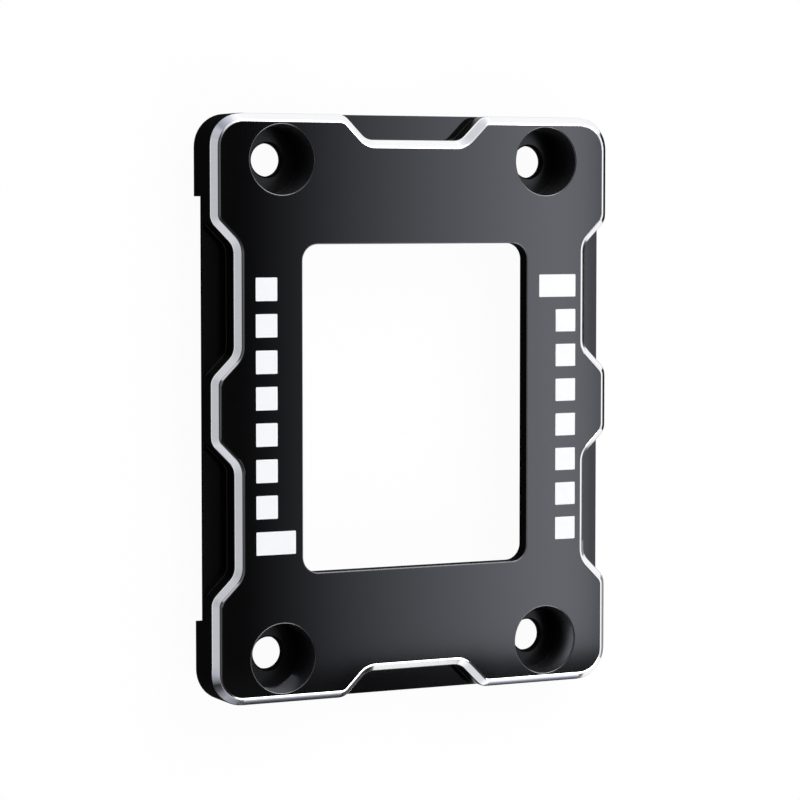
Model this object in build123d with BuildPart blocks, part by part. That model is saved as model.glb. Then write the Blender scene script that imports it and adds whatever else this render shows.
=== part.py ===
from build123d import *
import os

# Retention frame for a processor socket: one milled aluminium plate on four corner feet.
# The frame lies on its feet, with the face up. X is across, Y is along, Z is up, and the
# origin is at the centre of the plane that the feet stand on. All sizes are in millimetres.

# Screw pattern of the socket, and the stepped holes for screws and their heads.
screw_spacing_x = 35.9
screw_spacing_y = 60.0
screw_hole_diameter = 4.0
screw_hole_rim = 0.2
head_bore_diameter = 8.4
head_bore_floor = 1.3
head_bore_rim = 0.15

# Heights, from the feet up to the face.
foot_height = 2.2
plate_thickness = 3.8
ledge_thickness = 0.7
lip_thickness = 1.9

# Outline: the metal left between the head bores and the bevel, and the corners.
end_land = 0.4
side_land = 3.95
corner_radius = 4.0

# Bevel round the face, with its rounded upper edge.
bevel = 0.9
bevel_round = 0.55

# Notches in the edges, with slopes at 45 degrees, down to the ledge.
notch_depth = 3.0
notch_radius = 2.0
side_tab_length = 7.8
side_notch_mouth = 18.7
end_notch_mouth = 18.8

# Window for the heat spreader, and the pocket under it for the processor's carrier.
window_width = 30.6
window_length = 39.7
window_radius = 2.0
window_rim = 0.12
carrier_width = 37.5
carrier_length = 45.0
carrier_clearance = 0.5
pocket_radius = 1.5

# Feet: a boss round each screw hole, which stands out past the straight inner edges.
boss_wall = 1.3
boss_bulge = 1.1
boss_blend = 1.0
sole_rim = 0.2

# Worked out from the sizes above.
thickness = foot_height + plate_thickness
ledge_z = foot_height + ledge_thickness
head_bore_depth = thickness - head_bore_floor
pocket_depth = plate_thickness - lip_thickness
pocket_width = carrier_width + 2 * carrier_clearance
pocket_length = carrier_length + 2 * carrier_clearance
end_margin = head_bore_diameter / 2 + end_land + bevel
side_margin = head_bore_diameter / 2 + side_land + bevel
width = screw_spacing_x + 2 * side_margin
length = screw_spacing_y + 2 * end_margin
half_width = width / 2
half_length = length / 2
notch_floor_x = half_width - notch_depth
notch_floor_y = half_length - notch_depth
end_mouth_x = end_notch_mouth / 2
tab_y = side_tab_length / 2
side_mouth_y = tab_y + side_notch_mouth
boss_radius = head_bore_diameter / 2 + boss_wall
foot_reach = boss_radius - boss_bulge
foot_edge_x = screw_spacing_x / 2 - foot_reach
foot_edge_y = screw_spacing_y / 2 - foot_reach


with BuildPart() as retention_frame:
    # The lower layer has the whole outline, and its top is the ledge in each notch.
    with BuildSketch(Plane.XY.offset(foot_height)):
        RectangleRounded(width, length, corner_radius)
    extrude(amount=ledge_thickness)

    # The upper layer has the notched outline: one quarter is drawn and mirrored twice.
    with BuildSketch(Plane.XY.offset(ledge_z)):
        with BuildLine():
            FilletPolyline(
                (0, notch_floor_y),
                (end_mouth_x - notch_depth, notch_floor_y),
                (end_mouth_x, half_length),
                (half_width, half_length),
                (half_width, side_mouth_y),
                (notch_floor_x, side_mouth_y - notch_depth),
                (notch_floor_x, tab_y + notch_depth),
                (half_width, tab_y),
                (half_width, 0),
                radius=[notch_radius] * 2 + [corner_radius] + [notch_radius] * 4,
            )
            mirror(about=Plane.YZ)
            mirror(about=Plane.XZ)
        make_face()
    extrude(amount=thickness - ledge_z)

    # The bevel follows the notched outline, and its upper edge is rounded into the face.
    chamfer(retention_frame.faces().sort_by(Axis.Z)[-1].edges(), bevel)
    fillet(retention_frame.faces().sort_by(Axis.Z)[-1].edges(), bevel_round)

    # Each foot runs from its screw hole out to the edges of the plate.
    with BuildSketch():
        with GridLocations(width - side_margin, length - end_margin - foot_reach, 2, 2):
            Rectangle(side_margin, end_margin + foot_reach)
        with GridLocations(width - side_margin - foot_reach, length - end_margin, 2, 2):
            Rectangle(side_margin + foot_reach, end_margin)
        with GridLocations(screw_spacing_x, screw_spacing_y, 2, 2):
            Circle(boss_radius)
        boss_corners = vertices().filter_by(
            lambda corner: abs(abs(corner.X) - foot_edge_x) < 0.001
            and abs(corner.Y) < half_length - 0.001
            or abs(abs(corner.Y) - foot_edge_y) < 0.001
            and abs(corner.X) < half_width - 0.001
        )
        fillet(boss_corners, boss_blend)
        RectangleRounded(width, length, corner_radius, mode=Mode.INTERSECT)
    extrude(amount=foot_height)

    # The window goes right through, and the pocket under it leaves a lip all round.
    with BuildSketch():
        RectangleRounded(window_width, window_length, window_radius)
    extrude(amount=thickness, mode=Mode.SUBTRACT)
    with BuildSketch(Plane.XY.offset(foot_height)):
        RectangleRounded(pocket_width, pocket_length, pocket_radius)
    extrude(amount=pocket_depth, mode=Mode.SUBTRACT)

    # A stepped hole goes down through each foot.
    with Locations((0, 0, thickness)):
        with GridLocations(screw_spacing_x, screw_spacing_y, 2, 2):
            CounterBoreHole(screw_hole_diameter / 2, head_bore_diameter / 2, head_bore_depth)

    # The rims are eased: first the bores and the window at the face.
    rims = retention_frame.faces().sort_by(Axis.Z)[-1].inner_wires().sort_by(SortBy.LENGTH)
    fillet(rims[:-1].edges(), head_bore_rim)
    rims = retention_frame.faces().sort_by(Axis.Z)[-1].inner_wires().sort_by(SortBy.LENGTH)
    chamfer(rims[-1].edges(), window_rim)

    # Then both ends of the screw holes, and the soles of the feet.
    hole_rims = retention_frame.edges().filter_by(GeomType.CIRCLE).filter_by(
        lambda edge: abs(edge.radius - screw_hole_diameter / 2) < 0.001
        and abs(abs(edge.arc_center.X) - screw_spacing_x / 2) < 0.001
    )
    chamfer(hole_rims, screw_hole_rim)
    soles = retention_frame.faces().sort_by(Axis.Z)[:4]
    chamfer([edge for sole in soles for edge in sole.outer_wire().edges()], sole_rim)

retention_frame.part.label = "retention_frame"
os.makedirs("parts", exist_ok=True)
export_step(retention_frame.part, "parts/retention_frame.step")
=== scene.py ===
import math

import bmesh
import bpy
from mathutils import Euler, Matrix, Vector


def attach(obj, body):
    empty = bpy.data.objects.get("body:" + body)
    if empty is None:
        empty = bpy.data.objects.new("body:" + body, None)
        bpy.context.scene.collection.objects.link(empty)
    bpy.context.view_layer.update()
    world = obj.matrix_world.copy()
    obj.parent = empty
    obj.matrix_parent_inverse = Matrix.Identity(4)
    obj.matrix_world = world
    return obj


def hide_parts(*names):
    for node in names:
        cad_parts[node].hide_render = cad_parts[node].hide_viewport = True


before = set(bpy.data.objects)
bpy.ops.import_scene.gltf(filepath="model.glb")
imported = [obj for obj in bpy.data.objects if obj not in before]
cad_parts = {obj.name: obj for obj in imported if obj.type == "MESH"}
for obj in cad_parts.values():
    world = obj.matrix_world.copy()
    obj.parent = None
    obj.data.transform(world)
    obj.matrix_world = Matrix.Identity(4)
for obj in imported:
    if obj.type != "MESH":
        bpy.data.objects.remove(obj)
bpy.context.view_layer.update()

# Retention frame for a processor socket, lying on its four feet with the face up.
# Settings are in millimetres and degrees unless a note says otherwise; meshes are in metres.
mm = 0.001
print("stage 1: packed frame loaded")


class Wire:
    # One output of a node. Sums written with it add Math nodes to its tree.
    def __init__(self, graph, socket):
        self.graph, self.socket = graph, socket

    def out(self, name):
        return Wire(self.graph, self.socket.node.outputs[name])

    def __add__(self, other):
        return self.graph.sum("ADD", self, other)

    def __radd__(self, other):
        return self.graph.sum("ADD", other, self)

    def __sub__(self, other):
        return self.graph.sum("SUBTRACT", self, other)

    def __rsub__(self, other):
        return self.graph.sum("SUBTRACT", other, self)

    def __mul__(self, other):
        return self.graph.sum("MULTIPLY", self, other)

    def __rmul__(self, other):
        return self.graph.sum("MULTIPLY", other, self)

    def __truediv__(self, other):
        return self.graph.sum("DIVIDE", self, other)

    def __rtruediv__(self, other):
        return self.graph.sum("DIVIDE", other, self)


class Graph:
    # A node tree, and the one way that nodes are added to it.
    def __init__(self, tree):
        self.tree = tree
        tree.nodes.clear()

    def add(self, kind, settings=None, sockets=None):
        node = self.tree.nodes.new(kind)
        for name, value in (settings or {}).items():
            if name == "stops":
                ramp = node.color_ramp
                while len(ramp.elements) < len(value):
                    ramp.elements.new(1.0)
                for stop, (place, colour) in zip(ramp.elements, value):
                    stop.position, stop.color = place, (*colour, 1)
            else:
                setattr(node, name, value)
        for name, value in (sockets or {}).items():
            shown = [s for s in node.inputs if s.enabled]
            if isinstance(name, int):
                socket = shown[name]
            else:
                socket = next(s for s in shown if s.name == name)
            if isinstance(value, Wire):
                self.tree.links.new(value.socket, socket)
            else:
                socket.default_value = value
        outputs = [s for s in node.outputs if s.enabled]
        return Wire(self, outputs[0]) if outputs else None

    def sum(self, operation, first, second):
        return self.add("ShaderNodeMath", {"operation": operation}, {0: first, 1: second})


def newMaterial(name):
    material = bpy.data.materials.new(name)
    material.use_nodes = True
    return material, Graph(material.node_tree)


def millimetres(graph):
    # Object coordinates, counted in millimetres.
    place = graph.add("ShaderNodeTexCoord").out("Object")
    return graph.add(
        "ShaderNodeVectorMath", {"operation": "SCALE"}, {"Vector": place, "Scale": 1 / mm}
    )


def grey(value, blue=1.0):
    return (value, value, value * blue, 1)


def noise(graph, place, scale, detail=2.0, roughness=0.5):
    return graph.add(
        "ShaderNodeTexNoise",
        {"noise_dimensions": "3D"},
        {"Vector": place, "Scale": scale, "Detail": detail, "Roughness": roughness},
    )


def bump(graph, depth, height):
    # The depth is in millimetres.
    return graph.add(
        "ShaderNodeBump", {}, {"Strength": 1.0, "Distance": depth * mm, "Height": height}
    )


# Camera, at the photograph's viewing angle.
cameraLook = {
    "place": (-162.13, 24.06, 332.59),
    "turn": (-3.6571, -26.0718, -0.0133),
    "lens": 134.12,
}


def makeCamera(look):
    data = bpy.data.cameras.new("camera")
    data.lens = look["lens"]
    data.clip_start, data.clip_end = 0.01, 50
    camera = bpy.data.objects.new("camera", data)
    camera.location = Vector(look["place"]) * mm
    camera.rotation_euler = Euler([math.radians(a) for a in look["turn"]])
    bpy.context.scene.collection.objects.link(camera)
    bpy.context.scene.camera = camera


makeCamera(cameraLook)
bpy.context.scene.view_settings.view_transform = "Standard"
print("stage 2: camera placed")


# Black anodised aluminium: a near-black dye under a clear oxide, with a fine blasted grain.
satinBlack = {
    "dark": 0.0008,
    "light": 0.0014,
    "blue": 1.08,
    "roughness": 0.075,
    "roughnessSpread": 0.015,
    "specular": 0.5,
    "grainPerMm": 7.0,
    "grainDepth": 0.0004,
    "cloudPerMm": 0.22,
    "cloudShare": 0.6,  # of the colour's variation; the grain has the rest
}
# The walls, the ledges and the bores were cut by other tools, which left other grains.
mattBlack = dict(satinBlack, roughness=0.5, specular=0.002, grainDepth=0.003)
flankBlack = dict(satinBlack, roughness=0.34, specular=0.22, grainDepth=0.001)
ledgeBlack = dict(satinBlack, roughness=0.085, specular=0.47, grainDepth=0.0004)
boreBottom = dict(satinBlack, roughness=0.32, specular=0.52, grainDepth=0.0006)
# The bore walls are a lighter copy of the bored finish: painted light that stands in for the light
# the walls catch.
boreWall = dict(boreBottom, dark=0.022, light=0.031, roughness=0.28, specular=0.25)


def anodised(name, look):
    material, graph = newMaterial(name)
    place = millimetres(graph)
    clouds = noise(graph, place, look["cloudPerMm"], 4.0, 0.6)
    grain = noise(graph, place, look["grainPerMm"], 3.0, 0.65)
    share = look["cloudShare"]
    colour = graph.add(
        "ShaderNodeMix",
        {"data_type": "RGBA"},
        {
            "Factor": clouds * share + grain * (1 - share),
            "A": grey(look["dark"], look["blue"]),
            "B": grey(look["light"], look["blue"]),
        },
    )
    spread = look["roughnessSpread"]
    shader = graph.add(
        "ShaderNodeBsdfPrincipled",
        {},
        {
            "Base Color": colour,
            "Roughness": look["roughness"] - spread / 2 + clouds * spread,
            "IOR": 1.5,
            "Specular IOR Level": look["specular"],
            "Normal": bump(graph, look["grainDepth"], grain),
        },
    )
    graph.add("ShaderNodeOutputMaterial", {}, {"Surface": shader})
    return material


# The bevel is cut after the anodising, so it is bare bright metal with the cutter's fine lines.
brightCut = {
    "colour": (0.95, 0.95, 0.96),
    "lineColour": (0.88, 0.88, 0.895),
    "roughness": 0.11,
    "lineRoughness": 0.06,
    "linesPerMm": 16.0,
    "alongEdge": 0.03,
    "lineDepth": 0.00005,
    "cloudPerMm": 0.4,
    "lineShare": 0.6,  # of the roughness's variation; the clouds have the rest
}
# On the eased rims of the window and the bores a grey metal colour is a painted highlight for a
# thin light line, and the metal also mirrors the studio.
windowRim = dict(
    brightCut, colour=(0.30, 0.30, 0.31), lineColour=(0.24, 0.24, 0.25), roughness=0.22
)
boreRim = dict(windowRim, colour=(0.15, 0.15, 0.155), lineColour=(0.11, 0.11, 0.115))


def brightMetal(name, look):
    material, graph = newMaterial(name)
    place = millimetres(graph)
    drawn = graph.add(
        "ShaderNodeVectorMath",
        {"operation": "MULTIPLY"},
        {0: place, 1: (look["alongEdge"], look["alongEdge"], 1.0)},
    )
    lines = noise(graph, drawn, look["linesPerMm"], 3.0, 0.7)
    clouds = noise(graph, place, look["cloudPerMm"], 3.0)
    share = look["lineShare"]
    worn = lines * share + clouds * (1 - share) - 0.5
    colour = graph.add(
        "ShaderNodeMix",
        {"data_type": "RGBA"},
        {"Factor": lines, "A": (*look["lineColour"], 1), "B": (*look["colour"], 1)},
    )
    shader = graph.add(
        "ShaderNodeBsdfPrincipled",
        {},
        {
            "Base Color": colour,
            "Metallic": 1.0,
            "Roughness": look["roughness"] + worn * look["lineRoughness"],
            "Normal": bump(graph, look["lineDepth"], lines),
        },
    )
    graph.add("ShaderNodeOutputMaterial", {}, {"Surface": shader})
    return material


# The milled frame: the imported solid's own surface, with its finest edges broken.
milledFrame = {
    "faceHeight": 6.0,
    "bevelFoot": 5.1,
    "bevelRound": 0.55,
    "ledgeHeight": 2.9,
    "boreFloor": 1.3,
    "boreRadius": 4.2,
    "boreRim": 0.155,
    "windowReach": (15.9, 20.5),
    "pocketReach": (19.5, 23.5),
    "holeSpacing": (35.9, 60.0),
    "halfSize": (27.0, 35.5),
    "bevelFootBreak": 0.18,
    "ledgeCorner": 0.06,
    "ledgeCornerFrom": 0.5,  # where the ledge is narrower, so is its corner
    "boreCorner": 0.05,
    "segments": 3,
    "nearness": 0.02,  # how near to a height an edge counts as lying at it
    "sharp": 30.0,
    "weld": 0.0001,  # vertices that are nearer than this become one
    "flatWithin": 0.05,  # degrees: faces that differ by less are joined
    "belowBevel": 0.1,
    "besideLedge": 0.2,
    "sloping": (0.1, 0.995),  # how far a normal rises on the bevel and the rims
    "upright": 0.3,  # it rises less than this on a wall
}


def breakWidth(edge, look):
    # How wide an edge is broken, in millimetres: nothing for smooth and upright edges.
    if len(edge.link_faces) != 2 or edge.calc_face_angle(0) < math.radians(look["sharp"]):
        return 0
    first, second = (vertex.co / mm for vertex in edge.verts)
    middle = (first + second) / 2

    def liesAt(height):
        return abs(middle.z - look[height]) < look["nearness"]

    if abs(first.z - second.z) > look["nearness"] / 2:
        return 0
    if liesAt("bevelFoot"):
        return look["bevelFootBreak"]
    if liesAt("ledgeHeight") and not edge.is_convex:
        width = min(look["halfSize"][0] - abs(middle.x), look["halfSize"][1] - abs(middle.y))
        return look["ledgeCorner"] * max(0, min(1, width / look["ledgeCornerFrom"]))
    if liesAt("boreFloor") and not edge.is_convex:
        return look["boreCorner"]
    return 0


def surfaceOf(face, look):
    # The name of the surface that a face belongs to.
    x, y, z = face.center / mm
    acrossBore, alongBore = (spacing / 2 for spacing in look["holeSpacing"])
    fromBore = math.hypot(abs(x) - acrossBore, abs(y) - alongBore)
    inBore = fromBore < look["boreRadius"] + look["boreRim"]
    inWindow = abs(x) < look["windowReach"][0] and abs(y) < look["windowReach"][1]
    inPocket = abs(x) < look["pocketReach"][0] and abs(y) < look["pocketReach"][1]
    least, most = look["sloping"]
    if z > look["bevelFoot"] - look["belowBevel"] and least < face.normal.z < most:
        return "bore rim" if inBore else "window rim" if inWindow else "bevel"
    if abs(face.normal.z) < look["upright"]:
        if inBore and z > look["boreFloor"]:
            return "bore wall"
        return "inner wall" if inPocket or inBore else "outer wall"
    if inBore:
        return "bore floor"
    return "ledge" if abs(z - look["ledgeHeight"]) < look["besideLedge"] else "face"


def evenBevel(mesh, slot, look):
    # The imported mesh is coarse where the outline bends, so the bevel's normals are set by height:
    # 45 degrees up to its rounded edge, and from there turning upright.
    outwards = [Vector((0, 0)) for vertex in mesh.vertices]
    faces = [face for face in mesh.polygons if face.material_index == slot]
    for face in faces:
        for vertex in face.vertices:
            outwards[vertex] += face.normal.xy.normalized() * face.area
    normals = [corner.vector.copy() for corner in mesh.corner_normals]
    foot = look["bevelFoot"] + look["bevelFootBreak"] / 2
    for face in faces:
        for corner, vertex in zip(face.loop_indices, face.vertices):
            height = mesh.vertices[vertex].co.z / mm
            if height > foot:
                drop = look["faceHeight"] - height
                tilt = min(math.pi / 4, math.acos(max(-1, min(1, 1 - drop / look["bevelRound"]))))
                level = outwards[vertex].normalized() * math.sin(tilt)
                normals[corner] = Vector((*level, math.cos(tilt)))
    mesh.normals_split_custom_set(normals)


def makeMilledFrame(look, finishes):
    work = bmesh.new()
    work.from_mesh(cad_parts["retention_frame"].data)
    bmesh.ops.remove_doubles(work, verts=work.verts, dist=look["weld"] * mm)
    flat = math.radians(look["flatWithin"])
    bmesh.ops.dissolve_limit(work, angle_limit=flat, verts=work.verts, edges=work.edges)
    weights = work.edges.layers.float.new("bevel_weight_edge")
    widths = {edge: breakWidth(edge, look) for edge in work.edges}
    widest = max(widths.values())
    for edge, width in widths.items():
        edge[weights] = width / widest
        edge.smooth = edge.calc_face_angle(0) < math.radians(look["sharp"]) or width > 0
    for face in work.faces:
        face.smooth = True
    mesh = bpy.data.meshes.new("milled_frame")
    work.to_mesh(mesh)
    work.free()
    piece = bpy.data.objects.new("milled_frame", mesh)
    bpy.context.scene.collection.objects.link(piece)
    rounding = piece.modifiers.new("edge breaks", "BEVEL")
    rounding.limit_method = "WEIGHT"
    rounding.width = widest * mm
    rounding.segments = look["segments"]
    rounding.use_clamp_overlap = False
    evening = piece.modifiers.new("even shading", "WEIGHTED_NORMAL")
    evening.keep_sharp = True
    evening.weight = 100
    piece.data = bpy.data.meshes.new_from_object(
        piece.evaluated_get(bpy.context.evaluated_depsgraph_get())
    )
    piece.modifiers.clear()
    piece.data.name = "milled_frame"
    piece.data.materials.clear()
    slots = list(finishes)
    for finish in finishes.values():
        piece.data.materials.append(finish)
    for face in piece.data.polygons:
        face.material_index = slots.index(surfaceOf(face, look))
    evenBevel(piece.data, slots.index("bevel"), look)
    return piece


# White printed marks: two columns of squares, and a longer one at an end of each column.
printedMarks = {
    "size": 2.80,
    "longSize": 5.16,
    "pitch": 4.358,
    "count": 8,
    "top": 15.92,
    "leftEdge": -21.48,
    "rightEdge": 22.17,
    "thickness": 0.02,
    "sunk": 0.008,
    "cornerRadius": 0.1,
    "weld": 0.0005,
}
inkLook = {
    "colour": (0.945, 0.948, 0.945),
    "thin": (0.90, 0.903, 0.90),
    "roughness": 0.42,
    "roughnessSpread": 0.1,
    "grainPerMm": 9.0,
    "grainDepth": 0.001,
    "cloudPerMm": 0.8,
}


def whiteInk(name, look):
    material, graph = newMaterial(name)
    place = millimetres(graph)
    grain = noise(graph, place, look["grainPerMm"], 3.0)
    clouds = noise(graph, place, look["cloudPerMm"], 2.0)
    colour = graph.add(
        "ShaderNodeMix",
        {"data_type": "RGBA"},
        {"Factor": clouds * 0.5 + grain * 0.5, "A": (*look["thin"], 1), "B": (*look["colour"], 1)},
    )
    shader = graph.add(
        "ShaderNodeBsdfPrincipled",
        {},
        {
            "Base Color": colour,
            "Roughness": look["roughness"] + grain * look["roughnessSpread"],
            "Normal": bump(graph, look["grainDepth"], grain),
        },
    )
    graph.add("ShaderNodeOutputMaterial", {}, {"Surface": shader})
    return material


def markPlate(graph, width, height, thickness, radius, weld):
    # A thin closed plate with rounded corners, standing on its own origin.
    outline = graph.add(
        "GeometryNodeCurvePrimitiveQuadrilateral", {}, {"Width": width, "Height": height}
    )
    outline = graph.add(
        "GeometryNodeFilletCurve",
        {"mode": "POLY"},
        {"Curve": outline, "Count": 3, "Radius": radius},
    )
    sheet = graph.add("GeometryNodeFillCurve", {"mode": "NGONS"}, {"Curve": outline})
    top = graph.add("GeometryNodeExtrudeMesh", {}, {"Mesh": sheet, "Offset Scale": thickness})
    bottom = graph.add("GeometryNodeFlipFaces", {}, {"Mesh": sheet})
    whole = graph.add("GeometryNodeJoinGeometry", {}, {"Geometry": top})
    graph.tree.links.new(bottom.socket, whole.socket.node.inputs[0])
    return graph.add("GeometryNodeMergeByDistance", {}, {"Geometry": whole, "Distance": weld})


def makePrintedMarks(look, ink):
    tree = bpy.data.node_groups.new("printed marks", "GeometryNodeTree")
    graph = Graph(tree)
    sizes = {
        "Mark size": look["size"] * mm,
        "Long mark": look["longSize"] * mm,
        "Pitch": look["pitch"] * mm,
        "Top": look["top"] * mm,
        "Left edge": look["leftEdge"] * mm,
        "Right edge": look["rightEdge"] * mm,
        "Base height": (milledFrame["faceHeight"] - look["sunk"]) * mm,
        "Thickness": (look["thickness"] + look["sunk"]) * mm,
        "Corner radius": look["cornerRadius"] * mm,
    }
    for name in sizes:
        tree.interface.new_socket(name, in_out="INPUT", socket_type="NodeSocketFloat")
    tree.interface.new_socket("Marks in a column", in_out="INPUT", socket_type="NodeSocketInt")
    tree.interface.new_socket("Geometry", in_out="OUTPUT", socket_type="NodeSocketGeometry")
    given = graph.add("NodeGroupInput")
    size, longSize, pitch, top, left, right, base, thick, radius = (given.out(n) for n in sizes)
    count = given.out("Marks in a column")
    square = markPlate(graph, size, size, thick, radius, look["weld"] * mm)
    long = markPlate(graph, longSize, size, thick, radius, look["weld"] * mm)
    firstRow = top - size / 2
    lastRow = firstRow - pitch * (count - 1)
    runs = [
        (square, count - 1, left + size / 2, firstRow),
        (long, 1, left + longSize / 2, lastRow),
        (long, 1, right - longSize / 2, firstRow),
        (square, count - 1, right - size / 2, firstRow - pitch),
    ]
    step = graph.add("ShaderNodeCombineXYZ", {}, {"X": 0.0, "Y": pitch * -1})
    joined = graph.add("GeometryNodeJoinGeometry")
    for plate, number, across, along in runs:
        start = graph.add("ShaderNodeCombineXYZ", {}, {"X": across, "Y": along, "Z": base})
        row = graph.add(
            "GeometryNodeMeshLine",
            {"mode": "OFFSET"},
            {"Count": number, "Start Location": start, "Offset": step},
        )
        placed = graph.add("GeometryNodeInstanceOnPoints", {}, {"Points": row, "Instance": plate})
        tree.links.new(placed.socket, joined.socket.node.inputs[0])
    whole = graph.add("GeometryNodeRealizeInstances", {}, {"Geometry": joined})
    inked = graph.add("GeometryNodeSetMaterial", {}, {"Geometry": whole, "Material": ink})
    graph.add("NodeGroupOutput", {}, {"Geometry": inked})

    holder = bpy.data.objects.new("marks by rule", bpy.data.meshes.new("marks by rule"))
    bpy.context.scene.collection.objects.link(holder)
    modifier = holder.modifiers.new("printed marks", "NODES")
    modifier.node_group = tree
    for item in tree.interface.items_tree:
        if item.item_type == "SOCKET" and item.in_out == "INPUT":
            modifier[item.identifier] = sizes.get(item.name, look["count"])
    mesh = bpy.data.meshes.new_from_object(
        holder.evaluated_get(bpy.context.evaluated_depsgraph_get())
    )
    mesh.name = "printed_marks"
    bpy.data.objects.remove(holder)
    piece = bpy.data.objects.new("printed_marks", mesh)
    bpy.context.scene.collection.objects.link(piece)
    return piece


finishes = {
    "face": anodised("satin black anodised", satinBlack),
    "inner wall": anodised("matt black anodised", mattBlack),
    "bevel": brightMetal("bright cut bevel", brightCut),
    "window rim": brightMetal("rim with painted highlight", windowRim),
    "ledge": anodised("milled black anodised", ledgeBlack),
    "bore wall": anodised("drilled black anodised with painted light", boreWall),
    "bore rim": brightMetal("bore rim with painted highlight", boreRim),
    "bore floor": anodised("bored black anodised", boreBottom),
    "outer wall": anodised("side milled black anodised", flankBlack),
}
plate = makeMilledFrame(milledFrame, finishes)
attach(plate, "root")
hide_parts("retention_frame")
print("stage 3: milled frame,", len(plate.data.polygons), "faces")

marks = makePrintedMarks(printedMarks, whiteInk("white printing ink", inkLook))
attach(marks, "root")
print("stage 4: printed marks,", len(marks.data.polygons), "faces")


# Studio: a white floor, a pale surround that darkens overhead and has brighter and darker
# patches, two soft lamps, and a card overhead that is brighter towards one side, for the face's
# sheen. Near the part there are small cards, dark sheets and glints that only reflections show:
# painted reflections.
studio = {
    "floorSize": 6000.0,
    "floorHeight": -0.01,
    "floorColour": 0.95,
    "floorGlow": 0.96,
    "surround": [  # sine of the height above the horizon, and brightness
        (0.0, 1.2),
        (0.12, 0.95),
        (0.22, 0.72),
        (0.32, 0.64),
        (0.40, 0.52),
        (0.50, 0.12),
        (0.58, 0.03),
        (0.78, 0.03),
        (0.86, 0.09),
        (1.0, 0.10),
    ],
    "patches": [  # direction, degrees out to which it is full and where it ends, brightness
        ((0.15, 0.75, 0.65), 15.0, 42.0, 0.85),
        ((0.87, 0.02, 0.49), 12.0, 24.0, 1.1),
        ((-0.03, -0.35, 0.94), 8.0, 22.0, 0.006),
    ],
    "lamps": [  # direction towards the lamp, its distance, its size, and its brightness
        ((0.5, 0.65, 0.55), 900.0, (800.0, 520.0), 4.6),
        ((0.5, -0.65, 0.55), 900.0, (800.0, 480.0), 4.05),
    ],
    "surroundTint": (0.985, 0.997, 1.045),
    "cardTint": (0.96, 0.99, 1.12),
    # cards: whether each lights the parts, its corners, and its brightness along an axis
    "cards": [
        (
            "graded card overhead",
            True,
            [
                (96.0, -82.0, 300.0),
                (96.0, 260.0, 300.0),
                (198.0, 260.0, 300.0),
                (198.0, -82.0, 300.0),
            ],
            "X",
            [
                (96.0, 0.0),
                (104.0, 0.02),
                (117.0, 0.36),
                (136.0, 1.15),
                (155.0, 2.0),
                (174.0, 2.85),
                (184.0, 3.3),
                (190.0, 3.2),
                (198.0, 2.1),
            ],
        ),
        # The cards below light nothing and only reflections show them: painted reflections in the
        # bevel's corners and near end.
        (
            "graded card at the near corner",
            False,
            [(-44.0, -33.7, 0.1), (-20.0, -53.2, 0.1), (-20.0, -53.2, 6.4), (-44.0, -33.7, 12.9)],
            "X",
            [
                (-44.0, 0.50),
                (-43.1, 0.44),
                (-39.1, 0.23),
                (-36.1, 0.02),
                (-33.6, 0.08),
                (-31.2, 0.24),
                (-28.8, 0.37),
                (-26.1, 0.32),
                (-20.0, 0.20),
            ],
        ),
        (
            "graded card at the far corner",
            False,
            [(-38.0, 37.0, 0.1), (-24.0, 48.5, 0.1), (-24.0, 48.5, 12.5), (-38.0, 37.0, 12.5)],
            "X",
            [
                (-38.0, 0.48),
                (-33.5, 0.56),
                (-31.0, 0.34),
                (-28.5, 0.48),
                (-25.5, 0.70),
                (-24.0, 0.80),
            ],
        ),
        (
            "graded card at the near end, left",
            False,
            [(-22.0, -37.6, 2.5), (-7.8, -37.6, 2.5), (-7.8, -37.6, 5.9), (-22.0, -37.6, 5.9)],
            "Z",
            [
                (2.5, 0.0),
                (4.69, 0.02),
                (4.88, 0.034),
                (5.02, 0.058),
                (5.15, 0.174),
                (5.27, 0.54),
                (5.36, 1.0),
                (5.9, 1.1),
            ],
        ),
        (
            "graded card at the near end, right",
            False,
            [(10.4, -37.6, 2.5), (24.6, -37.6, 2.5), (24.6, -37.6, 5.9), (10.4, -37.6, 5.9)],
            "Z",
            [
                (2.5, 0.0),
                (4.6, 0.03),
                (4.80, 0.06),
                (4.95, 0.11),
                (5.08, 0.26),
                (5.18, 0.72),
                (5.27, 1.2),
                (5.9, 1.1),
            ],
        ),
    ],
    "darkReflectionSheets": [  # place across and along of its two corners, height, and brightness
        (-90.0, -45.0, -20.0, 45.0, 0.05, 0.02),
        (-45.0, -300.0, 3.5, -38.0, 0.05, 0.08),
        (3.5, -58.0, 25.0, -38.0, 0.05, 0.02),
        (25.0, -53.0, 32.0, -38.0, 0.05, 0.02),
        (25.0, -95.0, 46.0, -53.0, 0.05, 0.13),
        (27.6, 18.5, 46.0, 37.3, 0.05, 0.01),
        (29.0, 6.5, 35.5, 18.5, 0.05, 0.01),
        (27.6, -7.0, 46.0, 6.5, 0.05, 0.02),
        (29.0, -19.0, 35.5, -7.0, 0.05, 0.08),
        (27.6, -36.0, 46.0, -19.0, 0.05, 0.27),
        (126.0, -90.0, 164.0, -80.6, 299.0, 0.0),
        (-20.05, 27.9, -15.85, 32.1, 0.9, 0.0),
        (15.85, 27.9, 20.05, 32.1, 0.9, 0.0),
        (-20.05, -32.1, -15.85, -27.9, 0.9, 0.0),
        (15.85, -32.1, 20.05, -27.9, 0.9, 0.0),
    ],
    "glints": [  # middle of the bore, the corners counted from it, and brightness
        ((-17.95, -30.0), [(-1.0, -4.3), (3.4, -3.4), (2.6, -1.8), (0.6, -2.8)], 0.36),
        ((17.95, -30.0), [(0.9, -1.3), (2.05, -1.3), (2.05, 0.2), (0.9, 0.2)], 3.2),
    ],
    "glintHeight": 1.32,
}


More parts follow.
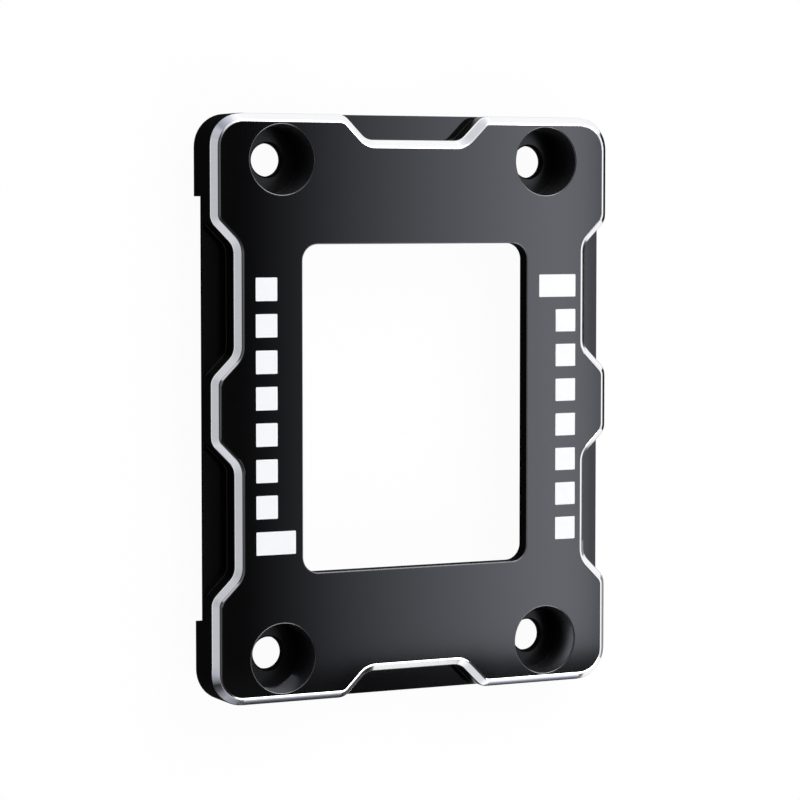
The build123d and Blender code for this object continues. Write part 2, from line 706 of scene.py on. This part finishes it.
def quad(name, corners, material):
    mesh = bpy.data.meshes.new(name)
    mesh.from_pydata([Vector(c) * mm for c in corners], [], [(0, 1, 2, 3)])
    mesh.materials.append(material)
    thing = bpy.data.objects.new(name, mesh)
    bpy.context.scene.collection.objects.link(thing)
    return thing


def makeFloor(look):
    material, graph = newMaterial("white floor")
    white = graph.add("ShaderNodeBsdfDiffuse", {}, {"Color": grey(look["floorColour"])})
    glow = graph.add("ShaderNodeEmission", {}, {"Color": grey(1.0), "Strength": 1.0})
    ray = graph.add("ShaderNodeLightPath")
    seen = ray.out("Is Camera Ray")
    for kind in ("Is Glossy Ray", "Is Transmission Ray"):
        seen = graph.sum("MAXIMUM", seen, ray.out(kind))
    mixed = graph.add("ShaderNodeMixShader", {}, {0: seen * look["floorGlow"], 1: white, 2: glow})
    graph.add("ShaderNodeOutputMaterial", {}, {"Surface": mixed})
    half = look["floorSize"] / 2
    corners = [(-half, -half), (half, -half), (half, half), (-half, half)]
    quad("floor", [(*corner, look["floorHeight"]) for corner in corners], material)


def makeSurround(look):
    world = bpy.data.worlds.new("surround")
    bpy.context.scene.world = world
    world.use_nodes = True
    graph = Graph(world.node_tree)
    towards = graph.add("ShaderNodeTexCoord").out("Generated")
    height = graph.add("ShaderNodeSeparateXYZ", {}, {"Vector": towards}).out("Z")
    tint = look["surroundTint"]
    stops = [(place, [bright * t for t in tint]) for place, bright in look["surround"]]
    colour = graph.add("ShaderNodeValToRGB", {"stops": stops}, {"Fac": height})
    for direction, full, end, bright in look["patches"]:
        nearness = graph.add(
            "ShaderNodeVectorMath",
            {"operation": "DOT_PRODUCT"},
            {0: towards, 1: Vector(direction).normalized()},
        )
        amount = graph.add(
            "ShaderNodeMapRange",
            {"interpolation_type": "SMOOTHSTEP"},
            {
                "Value": nearness,
                "From Min": math.cos(math.radians(end)),
                "From Max": math.cos(math.radians(full)),
            },
        )
        patch = (*(bright * t for t in tint), 1)
        colour = graph.add(
            "ShaderNodeMix", {"data_type": "RGBA"}, {"Factor": amount, "A": colour, "B": patch}
        )
    sky = graph.add("ShaderNodeBackground", {}, {"Color": colour, "Strength": 1.0})
    graph.add("ShaderNodeOutputWorld", {}, {"Surface": sky})


def makeLamps(look):
    for number, (towards, distance, size, bright) in enumerate(look["lamps"]):
        data = bpy.data.lights.new("soft lamp %d" % (number + 1), "AREA")
        data.shape, data.size, data.size_y = "RECTANGLE", size[0] * mm, size[1] * mm
        data.energy = bright * math.pi * data.size * data.size_y
        lamp = bpy.data.objects.new(data.name, data)
        away = Vector(towards).normalized()
        lamp.location = away * distance * mm
        lamp.rotation_euler = away.to_track_quat("Z", "Y").to_euler()
        lamp.visible_camera = False
        bpy.context.scene.collection.objects.link(lamp)


def hideFromCamera(thing, lightsTheParts):
    thing.visible_camera = False
    thing.visible_diffuse = thing.visible_shadow = thing.visible_transmission = lightsTheParts


def makeCards(look):
    for name, lightsTheParts, corners, axis, ramp in look["cards"]:
        material, graph = newMaterial(name)
        place = graph.add("ShaderNodeTexCoord").out("Object")
        along = graph.add("ShaderNodeSeparateXYZ", {}, {"Vector": place}).out(axis) / mm
        start, length = ramp[0][0], ramp[-1][0] - ramp[0][0]
        brightest = max(bright for at, bright in ramp)
        stops = [
            ((at - start) / length, [bright / brightest * t for t in look["cardTint"]])
            for at, bright in ramp
        ]
        rise = graph.add("ShaderNodeValToRGB", {"stops": stops}, {"Fac": (along - start) / length})
        glow = graph.add("ShaderNodeEmission", {}, {"Color": rise, "Strength": brightest})
        graph.add("ShaderNodeOutputMaterial", {}, {"Surface": glow})
        hideFromCamera(quad(name, corners, material), lightsTheParts)


def makePaintedDarkReflections(look):
    # Dark sheets beside the part paint a dark line into its bright bevel's reflection against the
    # white floor, as flags do in a studio. One above paints shade into a ledge's reflection, and
    # four lie in the screw holes, so that the bores' reflections stay dark. Only reflections show
    # them: painted reflections.
    for x0, y0, x1, y1, z, bright in look["darkReflectionSheets"]:
        material, graph = newMaterial("darkSheet")
        glow = graph.add("ShaderNodeEmission", {}, {"Color": grey(1.0), "Strength": bright})
        graph.add("ShaderNodeOutputMaterial", {}, {"Surface": glow})
        darkSheet = quad("darkSheet", [(x0, y0, z), (x1, y0, z), (x1, y1, z), (x0, y1, z)], material)
        hideFromCamera(darkSheet, False)


def makeGlints(look):
    # Small bright cards just over the bores' floors. Only the walls above mirror them, because
    # their undersides are clear.
    for (x, y), corners, bright in look["glints"]:
        material, graph = newMaterial("glint")
        tint = (*look["cardTint"], 1)
        glow = graph.add("ShaderNodeEmission", {}, {"Color": tint, "Strength": bright})
        under = graph.add("ShaderNodeNewGeometry").out("Backfacing")
        clear = graph.add("ShaderNodeBsdfTransparent")
        mixed = graph.add("ShaderNodeMixShader", {}, {0: under, 1: glow, 2: clear})
        graph.add("ShaderNodeOutputMaterial", {}, {"Surface": mixed})
        places = [(x + dx, y + dy, look["glintHeight"]) for dx, dy in corners]
        hideFromCamera(quad("glint", places, material), False)


makeFloor(studio)
makeSurround(studio)
makeLamps(studio)
makeCards(studio)
makePaintedDarkReflections(studio)
makeGlints(studio)
print("stage 5: floor and lights ready")
